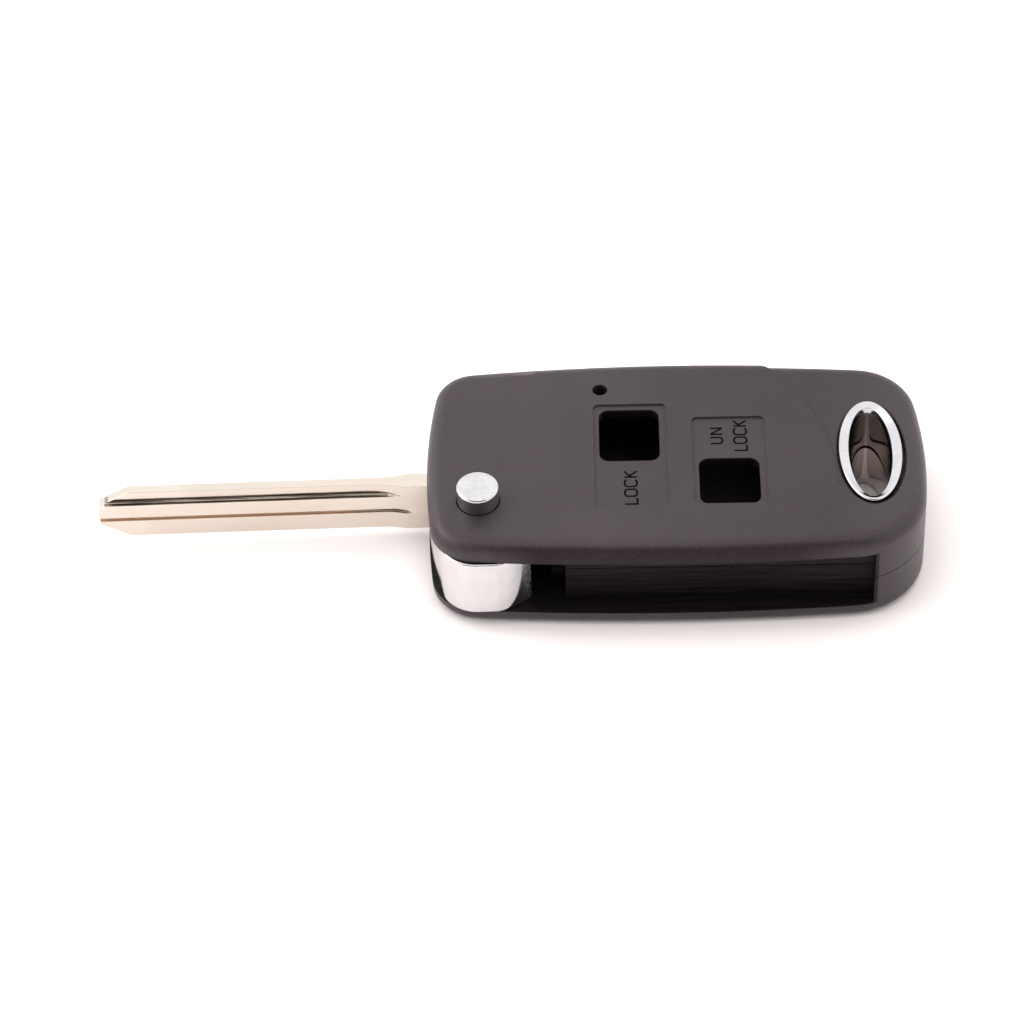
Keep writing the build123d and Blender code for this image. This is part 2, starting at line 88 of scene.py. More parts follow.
camera_axes = np.eye(4)
camera_axes[:3, :3] = undo_turn @ np.column_stack((picture_right, picture_up, -looking))
camera_axes[:3, 3] = undo_turn @ (aim_point - lens_distance * looking)

camera = bpy.data.objects.new("camera", bpy.data.cameras.new("camera"))
camera.data.sensor_width = sensor_width
camera.data.lens = sensor_width * focal_pixels / picture_pixels
camera.data.clip_start, camera.data.clip_end = nearest_seen, farthest_seen
camera.matrix_world = Matrix(camera_axes.tolist())
bpy.context.scene.collection.objects.link(camera)
bpy.context.scene.camera = camera
print("camera stands at", np.round(camera_axes[:3, 3], 3), "m, lens", round(camera.data.lens, 1), "mm")

# %% [markdown]
# ## Table
# The key lies on a white sweep that the picture shows as pure white. A plane primitive would do, and
# four corners in the plane z = 0 are the same thing with nothing hidden.

# %% Table
table_half = 3.0


def flat_sheet(name, half):
    """A square sheet in the plane z = 0: its four corners are (+-half, +-half, 0)."""
    corners = half * np.array(((-1, -1, 0), (1, -1, 0), (1, 1, 0), (-1, 1, 0)), float)
    mesh = bpy.data.meshes.new(name)
    mesh.from_pydata(corners, [], [(0, 1, 2, 3)])
    sheet = bpy.data.objects.new(name, mesh)
    bpy.context.scene.collection.objects.link(sheet)
    return sheet


table = flat_sheet("table", table_half)
print("table is", 2 * table_half, "m across")

# %% [markdown]
# ## Helpers for nodes
# The light and every finish are nets of shader nodes. Blender's own editor draws such nets by hand.
# In a script a few short helpers keep them readable: one makes a node, and the others make the
# patterns that come back again and again. All patterns read Object coordinates, which are metres on
# this key, so a scale of 1000 makes grains of about a millimetre.

# %% Node helpers


def step(owner, kind, sockets=None, **settings):
    """One node of a finish or of the world. sockets maps an input's name or number to a value or to another
    node's output."""
    made = owner.node_tree.nodes.new(kind)
    for key, value in settings.items():
        setattr(made, key, value)
    for key, value in (sockets or {}).items():
        if isinstance(value, bpy.types.NodeSocket):
            owner.node_tree.links.new(value, made.inputs[key])
        else:
            made.inputs[key].default_value = value
    return made


def ramp(owner, value, low, high, to_low, to_high):
    """A straight rescaling: value from low to high becomes to_low to to_high, held at both ends."""
    sockets = {0: value, 1: low, 2: high, 3: to_low, 4: to_high}
    return step(owner, "ShaderNodeMapRange", sockets, clamp=True).outputs[0]


def combine(owner, operation, first, second):
    """One operation on two values, such as ADD or MULTIPLY."""
    return step(owner, "ShaderNodeMath", {0: first, 1: second}, operation=operation).outputs[0]


def mixed(owner, share, first, second):
    """The first value where share is 0 and the second where it is 1."""
    return step(owner, "ShaderNodeMix", {0: share, 2: first, 3: second}).outputs[0]


print("node helpers are ready")

# %% [markdown]
# ## Light
# Chrome shows whatever stands round it, so the light is a tent: white on all sides and above, with an
# opening on the side of the camera. The opening draws the black lines on the blade and the darker
# near edge of the case. Panels of area light could stand on every side, but one world whose
# brightness depends on direction is evener and has no seams. Two panels are added to it. The one
# above makes the soft shadow beside the case, and a setting keeps it out of the mirror images. The
# one on the left shines on the side of the case that the blade comes out of.

# %% Light
tent_glow = 1.42
tent_colour = (1.0, 0.985, 0.985, 1.0)
horizon_glow = 1.2
horizon_top = 0.4
opening_glow = 0.04
camera_side = (0.0, -1.0, 0.0)
opening_side = (0.60, 0.85)
opening_foot = (0.27, 0.42)
opening_head = (0.78, 0.88)

bpy.context.scene.view_settings.view_transform = "Standard"
tent = bpy.data.worlds.new("light_tent")
tent.use_nodes = True
direction = step(tent, "ShaderNodeTexCoord").outputs["Generated"]
along_x, along_y, upward = step(tent, "ShaderNodeSeparateXYZ", {0: direction}).outputs
level_direction = step(tent, "ShaderNodeCombineXYZ", {0: along_x, 1: along_y, 2: 0.0}).outputs[0]
level_direction = step(tent, "ShaderNodeVectorMath", {0: level_direction}, operation="NORMALIZE").outputs[0]
towards_camera = step(
    tent, "ShaderNodeVectorMath", {0: level_direction, 1: camera_side}, operation="DOT_PRODUCT"
).outputs["Value"]
across = ramp(tent, towards_camera, *opening_side, 0.0, 1.0)
above_foot = ramp(tent, upward, *opening_foot, 0.0, 1.0)
below_head = ramp(tent, upward, *opening_head, 1.0, 0.0)
opening = combine(tent, "MULTIPLY", across, combine(tent, "MULTIPLY", above_foot, below_head))
walls = ramp(tent, upward, 0.0, horizon_top, horizon_glow, tent_glow)
glow = mixed(tent, opening, walls, opening_glow)
backdrop = tent.node_tree.nodes["Background"]
tent.node_tree.links.new(glow, backdrop.inputs["Strength"])
backdrop.inputs["Color"].default_value = tent_colour
bpy.context.scene.world = tent
print("tent glows", tent_glow, "and its opening", opening_glow)

# %% Panels
key_pivot = Vector((0.0, 0.0, 0.0))


def light_panel(name, place, width, height, glow, shines=True):
    """A flat panel at place that faces the key's pivot. Its power is glow x pi x area, so glow is its
    brightness. With shines off it lights the pieces but isn't mirrored in them."""
    panel = bpy.data.lights.new(name, "AREA")
    panel.shape = "RECTANGLE"
    panel.size = width
    panel.size_y = height
    panel.energy = glow * pi * width * height
    lamp = bpy.data.objects.new(name, panel)
    lamp.location = place
    lamp.rotation_euler = (key_pivot - Vector(place)).to_track_quat("-Z", "Y").to_euler()
    lamp.visible_glossy = shines
    bpy.context.scene.collection.objects.link(lamp)
    print(name, "faces the key from", [round(x, 2) for x in place], "m")


light_panel("top_panel", place=(0.0, 0.1, 1.2), width=0.7, height=0.4, glow=4.4, shines=False)
light_panel("left_panel", place=(-0.95, 0.2, 0.7), width=1.0, height=0.7, glow=3.0)

# %% [markdown]
# ## Helpers for finishes
# A finish is a Principled shader with patterns joined to its colour, roughness and bump. A photograph
# could be wrapped round the pieces instead, but worked-out patterns stay sharp at any size and need
# no unwrapping. Moulded and milled pieces have no knife-sharp edges: a Bevel node bends the normals
# beside each edge, which rounds the look of it without a change of shape.

# %% Finish helpers
# Nearly all values of a noise pattern lie between these two.
noise_span = (0.3, 0.7)
edge_samples = 6


def bare_finish(name, colour, roughness, metallic=0.0):
    """A material with only its Principled shader, and that shader."""
    finish = bpy.data.materials.new(name)
    finish.use_nodes = True
    shader = finish.node_tree.nodes["Principled BSDF"]
    shader.inputs["Base Color"].default_value = (*colour, 1.0)
    shader.inputs["Roughness"].default_value = roughness
    shader.inputs["Metallic"].default_value = metallic
    return finish, shader


def speckle(finish, scale, stretch=(1.0, 1.0, 1.0), detail=3.0, roughness=0.55):
    """Noise of so many grains to the metre. A small stretch on an axis draws the grains long on it."""
    place = step(finish, "ShaderNodeTexCoord").outputs["Object"]
    pressed = step(finish, "ShaderNodeMapping", {"Vector": place, "Scale": stretch}).outputs[0]
    return step(
        finish,
        "ShaderNodeTexNoise",
        {"Vector": pressed, "Scale": scale, "Detail": detail, "Roughness": roughness},
    ).outputs["Fac"]


def tint(finish, share, first, second):
    """The first colour where share is 0 and the second where it is 1. Each is three numbers or an output."""
    first, second = (c if isinstance(c, bpy.types.NodeSocket) else (*c, 1.0) for c in (first, second))
    return step(finish, "ShaderNodeMix", {0: share, 6: first, 7: second}, data_type="RGBA").outputs[2]


def inside_box(finish, low, high, blur=0.0001):
    """1 at places within the box from low to high and 0 outside it."""
    place = step(finish, "ShaderNodeTexCoord").outputs["Object"]
    share = None
    for along, start, end in zip(step(finish, "ShaderNodeSeparateXYZ", {0: place}).outputs, low, high):
        within = combine(
            finish,
            "MULTIPLY",
            ramp(finish, along, start - blur, start + blur, 0.0, 1.0),
            ramp(finish, along, end - blur, end + blur, 1.0, 0.0),
        )
        share = within if share is None else combine(finish, "MULTIPLY", share, within)
    return share


def soft_edge(finish, radius):
    """Normals that turn round each edge as if it had this radius."""
    return step(finish, "ShaderNodeBevel", {"Radius": radius}, samples=edge_samples).outputs["Normal"]


def relief(finish, height, depth, below=None):
    """Bump of this depth in metres, on top of the normals below it."""
    sockets = {"Height": height, "Distance": depth, "Strength": 1.0}
    if below is not None:
        sockets["Normal"] = below
    return step(finish, "ShaderNodeBump", sockets).outputs["Normal"]


def feed(finish, shader, **outputs):
    """Joins outputs to the shader's sockets: Base_Color=..., Roughness=..., Normal=..."""
    for socket, output in outputs.items():
        finish.node_tree.links.new(output, shader.inputs[socket.replace("_", " ")])


print("finish helpers are ready")

# %% [markdown]
# ## Satin black plastic
# The two halves are moulded in a spark-eroded steel tool, which leaves a fine even grain. Handling
# polishes it a little in soft patches, and a few specks of dust cling to it. Three sizes of noise
# give the grain, the patches and the slight unevenness of the moulded skin. The dust is the very
# centre of the cells of a Voronoi pattern, kept only in a few cells.
#
# The same skin looks different in a few places. Inside the blade slot and the bay behind the windows
# the plastic is plain and dull and painted darker, as the shade in these hollows, and in the slot the
# blade has drawn fine scores. An oval round the key ring liner is painted dark the same way, as the
# shadow in the gap round the liner. The rim above the slot and the key ring end of the face are worn
# by the hand to a softer gleam. Each half is one solid with one finish, so these places are found by
# where they lie: boxes, and an oval round the ring hole.

# %% Places on the plastic
# The slot and bay boxes mark hollows whose plastic is painted darker as shade.
slot_low, slot_high = (-0.0090, -0.0110, 0.0023), (0.0541, 0.0050, 0.0120)
bay_low, bay_high = (0.0170, -0.0008, 0.0050), (0.0470, 0.0205, 0.0143)
rim_low, rim_high = (0.0015, -0.0110, 0.0118), (0.0495, -0.0050, 0.0144)
rim_fade_in, rim_fade_out = (0.0, 0.008), (0.043, 0.050)
dull_from, dull_until = (0.020, 0.042), (0.048, 0.058)
# Painted shadow: the plastic in this oval, a little wider than the pocket of the ring liner, is darkened as
# the shadow in the gap round it.
ring_gap_shadow_middle, ring_gap_shadow_reach = (0.05382, 0.0081), (0.00483, 0.01003)
ring_edge = (0.985, 1.015)


def inside_oval(finish, along, across, middle, reach):
    """1 inside the upright oval with this middle and these half sizes, where the sum of the squares of
    (place - middle) / half size is below 1."""
    squares = []
    for value, centre, half in zip((along, across), middle, reach):
        share = combine(finish, "DIVIDE", combine(finish, "SUBTRACT", value, centre), half)
        squares.append(combine(finish, "MULTIPLY", share, share))
    return ramp(finish, combine(finish, "ADD", *squares), *ring_edge, 1.0, 0.0)


def between_ends(finish, along, rise, fall):
    """1 between the spans rise and fall along the case. It rises over the first and falls over the second."""
    risen = ramp(finish, along, *rise, 0.0, 1.0)
    return combine(finish, "MULTIPLY", risen, ramp(finish, along, *fall, 1.0, 0.0))


print("the slot reaches from x =", slot_low[0], "to", slot_high[0], "m")

# %% Grain and wear of the plastic
plastic_edge = 0.00013
grain_scale = 3600.0
grain_depth = 0.00004
grain_roughness = (-0.06, 0.08)
tip_span = (0.56, 0.72)
skin_scale = 700.0
skin_depth = 0.000015
patch_scale = 55.0
patch_roughness = (0.44, 0.37)
score_scale = 3000.0
score_stretch = (0.03, 1.0, 1.0)
score_roughness = (0.45, 0.65)
dust_scale = 170.0
dust_core = (0.014, 0.03)
dust_cover = 0.7
clean_share = 0.93
print("grains of the plastic are about", round(1000 / grain_scale, 2), "mm apart")

# %% Colours and gleam of the plastic
plain_black = (0.024, 0.018, 0.0215)
worn_black = (0.020, 0.0145, 0.018)
fresh_black = (0.027, 0.0205, 0.0245)
grain_tips = (0.040, 0.0325, 0.037)
# Painted shade: the colour of the plastic in the slot, the bay and the oval round the ring liner.
hollow_shade_black = (0.007, 0.005, 0.0055)
dust_grey = (0.6, 0.58, 0.56)
warm_gleam = (1.0, 0.89, 0.95, 1.0)
top_shine = (0.49, 0.39)
rim_shine = 0.08
inside_span = (0.35, 0.65)
inside_shine = (0.08, 0.3)
print("the plastic reflects about", plain_black[0], "of the red light")

# %% Satin black plastic


def satin_black_plastic():
    """Fine grain on an uneven skin, with soft patches of wear, specks of dust and the places above, where the
    hollows and the gap round the ring liner carry painted shade.
    """
    finish, shader = bare_finish("satin_black_plastic", plain_black, roughness=0.48)
    shader.inputs["Specular Tint"].default_value = warm_gleam
    grain = speckle(finish, grain_scale, detail=2.0)
    skin = speckle(finish, skin_scale, detail=3.0)
    patches = speckle(finish, patch_scale, detail=4.0)
    scores = speckle(finish, score_scale, score_stretch, detail=4.0, roughness=0.6)
    place = step(finish, "ShaderNodeTexCoord").outputs["Object"]
    along, across = step(finish, "ShaderNodeSeparateXYZ", {0: place}).outputs[:2]

    in_slot = inside_box(finish, slot_low, slot_high)
    inside = combine(finish, "MAXIMUM", in_slot, inside_box(finish, bay_low, bay_high))
    inside = combine(finish, "MAXIMUM", inside, inside_oval(finish, along, across, ring_gap_shadow_middle, ring_gap_shadow_reach))
    at_rim = inside_box(finish, rim_low, rim_high, blur=0.0002)
    at_rim = combine(finish, "MULTIPLY", at_rim, between_ends(finish, along, rim_fade_in, rim_fade_out))
    dull_end = between_ends(finish, along, dull_from, dull_until)

    cells = step(finish, "ShaderNodeTexVoronoi", {"Vector": place, "Scale": dust_scale})
    cell_number = step(finish, "ShaderNodeSeparateColor", {0: cells.outputs["Color"]}).outputs[0]
    kept_cell = combine(finish, "GREATER_THAN", cell_number, clean_share)
    core = ramp(finish, cells.outputs["Distance"], *dust_core, dust_cover, 0.0)
    dust = combine(finish, "MULTIPLY", kept_cell, core)

    black = tint(finish, ramp(finish, patches, *noise_span, 0.0, 1.0), worn_black, fresh_black)
    black = tint(finish, ramp(finish, grain, *tip_span, 0.0, 1.0), black, grain_tips)
    # Painted shade darkens the slot, the bay and the gap round the ring liner.
    black = tint(finish, inside, black, hollow_shade_black)
    sheen = combine(
        finish,
        "ADD",
        ramp(finish, patches, *noise_span, *patch_roughness),
        ramp(finish, grain, *noise_span, *grain_roughness),
    )
    shine = mixed(finish, at_rim, ramp(finish, dull_end, 0.0, 1.0, *top_shine), rim_shine)
    moulded = relief(finish, skin, skin_depth, soft_edge(finish, plastic_edge))
    feed(
        finish,
        shader,
        Base_Color=tint(finish, dust, black, dust_grey),
        Roughness=mixed(finish, in_slot, sheen, ramp(finish, scores, *noise_span, *score_roughness)),
        Specular_IOR_Level=mixed(finish, inside, shine, ramp(finish, scores, *inside_span, *inside_shine)),
        Normal=relief(finish, mixed(finish, in_slot, grain, scores), grain_depth, moulded),
    )
    return finish


case_plastic = satin_black_plastic()
print("made", case_plastic.name)

# %% [markdown]
# ## Chrome
# The head, the button and the liners are plated bright. Chrome is a mirror, so nearly all of its
# look comes from the tent and the table around it. A faint unevenness in the plating and thin
# smears from fingers are enough to keep it from looking like glass. Each piece has one place that
# nobody polishes, which is duller and has a colour of its own: the flank of the head inside the
# slot, the foot of the button in its hole, and the inside of the liners. At the foot of the button
# and inside the liners that colour is painted shade: darker at the button's foot, browner inside
# both liners and much darker inside the upper one. These could be four finishes of their own, but
# they differ in a few numbers only, so one recipe makes them all.

# %% Chrome
smear_scale = 330.0
smear_stretch = (1.0, 1.0, 0.7)
smear_span = (0.35, 0.7)
smear_roughness = 0.1
dent_scale = 1700.0
pit_scale = 5000.0
pit_depth = 0.0000008


def bright_chrome(
    name, colour, roughness, smear_depth, dent_depth, edge_radius, dull_box, dull_and_shade_colour, dull_gloss
):
    """Chrome with smears that dull it in patches and small dents in the plated surface. Within dull_box,
    where nobody polishes it, it has a range of roughness of its own and a colour of its own, which at
    the foot of the button and inside the liners is painted shade."""
    finish, shader = bare_finish(name, colour, roughness, metallic=1.0)
    smears = speckle(finish, smear_scale, smear_stretch, detail=6.0, roughness=0.7)
    dents = speckle(finish, dent_scale, detail=2.0)
    pits = speckle(finish, pit_scale, detail=1.0)
    smeared = ramp(finish, smears, *smear_span, 0.0, 1.0)
    darker = tuple((1.0 - smear_depth) * share for share in colour)
    dull = inside_box(finish, *dull_box, blur=0.0003)
    gloss = ramp(finish, smeared, 0.0, 1.0, roughness, roughness + smear_roughness)
    dented = relief(finish, dents, dent_depth, soft_edge(finish, edge_radius))
    # Within the box the colour is painted shade at the button's foot and inside the liners.
    feed(
        finish,
        shader,
        Base_Color=tint(finish, dull, tint(finish, smeared, colour, darker), dull_and_shade_colour),
        Roughness=mixed(finish, dull, gloss, ramp(finish, dents, *noise_span, *dull_gloss)),
        Normal=relief(finish, pits, pit_depth, dented),
    )
    return finish


print("chrome recipe is ready")

# %% Chrome of the head, the button and the liners
head_chrome = bright_chrome(
    "head_chrome",
    colour=(0.69, 0.68, 0.685),
    roughness=0.09,
    smear_depth=0.12,
    dent_depth=0.0000015,
    edge_radius=0.0001,
    dull_box=((0.0060, -0.02, -0.02), (0.02, 0.02, 0.02)),
    dull_and_shade_colour=(0.66, 0.645, 0.70),
    dull_gloss=(0.25, 0.31),
)
# The darker foot of the button, inside its hole, is painted shade.
button_chrome = bright_chrome(
    "button_chrome",
    colour=(0.66, 0.65, 0.67),
    roughness=0.09,
    smear_depth=0.25,
    dent_depth=0.00001,
    edge_radius=0.00012,
    dull_box=((-0.01, -0.01, -0.01), (0.01, 0.01, 0.0148)),
    dull_and_shade_colour=(0.58, 0.55, 0.58),
    dull_gloss=(0.15, 0.25),
)
# Inside the liners the colour is painted shade of the hole: browner, and much darker in the upper liner.
upper_liner_chrome, lower_liner_chrome = (
    bright_chrome(
        name,
        colour=(0.62, 0.61, 0.63),
        roughness=0.08,
        smear_depth=0.16,
        dent_depth=0.000004,
        edge_radius=0.00008,
        dull_box=((0.04, -0.02, 0.0012), (0.07, 0.03, 0.0139)),
        dull_and_shade_colour=hole_shade_colour,
        dull_gloss=(0.07, 0.2),
    )
    for name, hole_shade_colour in (
        ("upper_liner_chrome", (0.36, 0.325, 0.31)),
        ("lower_liner_chrome", (0.66, 0.595, 0.58)),
    )
)
print("made", head_chrome.name, button_chrome.name, upper_liner_chrome.name, lower_liner_chrome.name)

# %% [markdown]
# ## Nickel plated blade
# The blank is a brass bar, milled along its length and plated with nickel, which gives it a pale
# champagne colour. The cutter leaves marks along the strips. They could be cut into the mesh, but
# they lie less than 0.2 mm apart, so noise that is drawn out along the blade sets roughness and
# bump instead. In the narrow groove the plating is thin and rough, so the brass shines through
# there. The ledge under the top strip is painted dark as the shade under the step, in streaks
# that follow the milling marks.

# %% Places on the blade
groove_low, groove_high = (-0.0530, 0.0040, 0.00590), (-0.0125, 0.0075, 0.00706)
groove_fade = (-0.0195, -0.0125)
# The ledge box marks the face under the step, where shade is painted dark.
ledge_low, ledge_high = (-0.0530, 0.0035, 0.00936), (-0.0125, 0.0070, 0.00966)
thin_blur = 0.00004
print("the groove is", round(1000 * (groove_high[2] - groove_low[2]), 2), "mm high")

# %% Marks and colours of the blade
blade_edge = 0.00012
mill_scale = 6000.0
mill_stretch = (0.02, 1.0, 1.0)
mill_depth = 0.000006
mill_roughness = (0.07, 0.17)
streak_span = (0.42, 0.58)
handling_scale = 220.0
handling_stretch = (0.5, 1.0, 1.0)
handling_span = (0.35, 0.7)
handling_roughness = (-0.02, 0.06)
groove_roughness = 0.5
ledge_roughness = 0.24
plain_nickel = (0.61, 0.54, 0.48)
bright_nickel = (0.69, 0.63, 0.565)
dull_nickel = (0.63, 0.56, 0.49)
groove_brass = (0.70, 0.545, 0.42)
# Painted shade on the ledge under the step: streaks between these two colours.
ledge_shade_light = (0.52, 0.45, 0.38)
ledge_shade_dark = (0.16, 0.13, 0.11)
print("milling marks are", round(mill_stretch[1] / mill_stretch[0]), "times as long as they are wide")

# %% Nickel plated blade


def nickel_plate():
    """Milling marks and soft traces of handling, with a brassy groove and painted shade in streaks on the
    ledge.
    """
    finish, shader = bare_finish("nickel_plate", plain_nickel, roughness=0.22, metallic=1.0)
    mill_marks = speckle(finish, mill_scale, mill_stretch, detail=4.0, roughness=0.6)
    handling = speckle(finish, handling_scale, handling_stretch, detail=5.0, roughness=0.65)
    dulled = combine(
        finish,
        "ADD",
        ramp(finish, mill_marks, *noise_span, *mill_roughness),
        ramp(finish, handling, *handling_span, *handling_roughness),
    )
    place = step(finish, "ShaderNodeTexCoord").outputs["Object"]
    along = step(finish, "ShaderNodeSeparateXYZ", {0: place}).outputs[0]
    in_groove = inside_box(finish, groove_low, groove_high, blur=thin_blur)
    in_groove = combine(finish, "MULTIPLY", in_groove, ramp(finish, along, *groove_fade, 1.0, 0.0))
    shaded_ledge = inside_box(finish, ledge_low, ledge_high, blur=thin_blur)
    # Painted shade on the ledge, streaked along the milling marks.
    streaked_ledge_shade = tint(finish, ramp(finish, mill_marks, *streak_span, 0.0, 1.0), ledge_shade_light, ledge_shade_dark)
    plating = tint(finish, ramp(finish, handling, *noise_span, 0.0, 1.0), bright_nickel, dull_nickel)
    roughness = mixed(finish, in_groove, dulled, groove_roughness)
    feed(
        finish,
        shader,
        Base_Color=tint(finish, shaded_ledge, tint(finish, in_groove, plating, groove_brass), streaked_ledge_shade),
        Roughness=mixed(finish, shaded_ledge, roughness, ledge_roughness),
        Normal=relief(finish, mill_marks, mill_depth, soft_edge(finish, blade_edge)),
    )
    return finish


blade_nickel = nickel_plate()
print("made", blade_nickel.name)

# %% [markdown]
# ## Steel inside, and black screws
# The spring is drawn wire, the catch and the pin are plain turned steel, and the screws are
# blackened. Little of them shows in the picture, but the key is looked at from every side. One
# recipe makes both steels, with fine marks drawn long in the direction that the tool or the die ran.

# %% Plain steel
mark_scale = 5000.0
mark_depth = 0.000004
steel_roughness = (0.22, 0.42)
stain_scale = 500.0
stain_span = (0.35, 0.7)
stain_shade = 0.7


def plain_steel(name, colour, stretch):
    """Bare steel with fine marks, drawn long on the axes where stretch is small."""
    finish, shader = bare_finish(name, colour, roughness=0.3, metallic=1.0)
    marks = speckle(finish, mark_scale, stretch, detail=4.0)
    stains = speckle(finish, stain_scale, detail=4.0)
    stained = tuple(stain_shade * share for share in colour)
    feed(
        finish,
        shader,
        Base_Color=tint(finish, ramp(finish, stains, *stain_span, 0.0, 1.0), colour, stained),
        Roughness=ramp(finish, marks, *noise_span, *steel_roughness),
        Normal=relief(finish, marks, mark_depth),
    )
    return finish


spring_steel = plain_steel("spring_wire_steel", colour=(0.45, 0.44, 0.43), stretch=(1.0, 1.0, 0.1))
catch_steel = plain_steel("turned_steel", colour=(0.52, 0.51, 0.5), stretch=(1.0, 1.0, 0.05))
print("made", spring_steel.name, catch_steel.name)

# %% Blackened screws
bite_scale = 3000.0
bite_depth = 0.000006
bite_span = (0.3, 0.8)
bite_roughness = (0.45, 0.28)
worn_span = (0.6, 0.8)
plain_blacking = (0.03, 0.03, 0.032)
deep_blacking = (0.025, 0.025, 0.027)
worn_blacking = (0.12, 0.115, 0.11)


def blackened_screw():
    """Blacking that is worn to the steel on the tips of its grain."""
    finish, shader = bare_finish("blackened_screw", plain_blacking, roughness=0.4, metallic=0.4)
    bite = speckle(finish, bite_scale, detail=3.0)
    feed(
        finish,
        shader,
        Base_Color=tint(finish, ramp(finish, bite, *worn_span, 0.0, 1.0), deep_blacking, worn_blacking),
        Roughness=ramp(finish, bite, *bite_span, *bite_roughness),
        Normal=relief(finish, bite, bite_depth),
    )
    return finish


screw_black = blackened_screw()
print("made", screw_black.name)

# %% [markdown]
# ## Spring under the catch
# The coil spring is the one piece that changes its shape: it shortens when the button is pressed. A
# CAD solid stays rigid, so a spring of the same size takes its place here. Blender's Screw modifier
# could wind it, but a tube round a helix is one formula, with the wire's ends closed.

# %% Spring under the catch
half_wire = 0.0003
coil_turns = 4
spring_low, spring_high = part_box("flip_spring")


def wound_wire(name, wire_radius, radius, turns, start_z, end_z, points=241, sides=16):
    """A tube round a helix about the Z axis. Its middle line is (radius x cos a, radius x sin a, z), where z
    rises evenly with the angle a. Its points lie wire_radius from that line, in the plane across it."""
    angle = np.linspace(0, 2 * pi * turns, points)
    outward = np.column_stack((np.cos(angle), np.sin(angle), np.zeros(points)))
    middle = radius * outward + np.linspace(start_z, end_z, points)[:, None] * (0, 0, 1)
    onward = np.column_stack((-radius * np.sin(angle), radius * np.cos(angle), np.zeros(points)))
    onward[:, 2] = (end_z - start_z) / angle[-1]
    onward /= np.linalg.norm(onward, axis=1)[:, None]
    across = np.cross(onward, outward)
    around = np.linspace(0, 2 * pi, sides, endpoint=False)[None, :, None]
    ring = np.cos(around) * outward[:, None] + np.sin(around) * across[:, None]
    tube = middle[:, None] + wire_radius * ring
    first = sides * np.arange(points - 1)[:, None]
    side = np.arange(sides)[None]
    following = (side + 1) % sides
    walls = np.stack((first + side, first + following, first + sides + following, first + sides + side), 2)
    ends = [list(range(sides))[::-1], list(range(sides * (points - 1), sides * points))]
    mesh = bpy.data.meshes.new(name)
    mesh.from_pydata(tube.reshape(-1, 3), [], walls.reshape(-1, 4).tolist() + ends)
    mesh.polygons.foreach_set("use_smooth", [True] * (sides * (points - 1)) + [False] * len(ends))
    coil = bpy.data.objects.new(name, mesh)
    bpy.context.scene.collection.objects.link(coil)
    return coil


coil_spring = wound_wire(
    "coil_spring",
    wire_radius=half_wire,
    radius=spring_high[0] - half_wire,
    turns=coil_turns,
    start_z=spring_low[2] + half_wire,
    end_z=spring_high[2] - half_wire,
)
coil_spring.data.materials.append(spring_steel)
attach(coil_spring, "casing")
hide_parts("flip_spring")
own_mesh(coil_spring)

# %% [markdown]
# ## Each piece gets its finish
# A CAD piece keeps its shape, and only its material slots are filled anew. Each slot could be filled
# where its finish is made, but one table shows at a glance which pieces share a finish.

# %% Each piece gets its finish
finish_of_piece = {
    "upper_casing": case_plastic,
    "lower_casing": case_plastic,
    "upper_liner": upper_liner_chrome,
    "lower_liner": lower_liner_chrome,
    "flip_head": head_chrome,
    "blade": blade_nickel,
    "blade_pin": catch_steel,
    "release_button": button_chrome,
    "catch": catch_steel,
    "case_screw_1": screw_black,
    "case_screw_2": screw_black,
}
for piece_name, finish in finish_of_piece.items():
    for material_slot in key_pieces[piece_name].material_slots:
        material_slot.material = finish
    print(piece_name, "wears", finish.name)

# %% [markdown]
# ## White card under the key
# The sweep is matt white card. Plain white would do where the light is full, but the soft shadow
# beside the case is a little warm in the picture, and the card's own warm white gives it that tone.

# %% White card under the key
card_white = (0.93, 0.875, 0.86)
weave_scale = 400.0
weave_roughness = (0.75, 0.85)


def white_sweep():
    """Matt card whose gloss is a little uneven."""
    finish, shader = bare_finish("white_sweep", card_white, roughness=0.8)
    weave = speckle(finish, weave_scale, detail=2.0)
    feed(finish, shader, Roughness=ramp(finish, weave, *noise_span, *weave_roughness))
    return finish


table.data.materials.append(white_sweep())
print("table wears white_sweep")

# %% [markdown]
# ## Legends beside the windows
# Each window has its word in thin upright strokes, pad printed on the sunken field, and it reads
# from the slot side to the far side. A text object with a font would do, but the real letters are
# plain strokes of one width, so each letter is a few centrelines in a letter box that is 1 high.

# %% Letter centrelines
cap_end = 0.22
round_half = 0.375


def bow(first, last, middle, half_size, count=15):
    """Part of an oval: angle from first to last degrees, point = middle + half_size x (cos, sin)."""
    angle = np.radians(np.linspace(first, last, count))
    return np.array(middle) + np.array(half_size) * np.column_stack((np.cos(angle), np.sin(angle)))


def racetrack(half_width, first, last):
    """Half an oval over the top of the letter and half an oval under its foot, with straight runs between.
    It starts at the angle first on the top half and ends at the angle last on the lower half."""
    over = bow(first, 180, (half_width, 1 - cap_end), (half_width, cap_end))
    under = bow(180, last, (half_width, cap_end), (half_width, cap_end))
    return np.vstack((over, under))


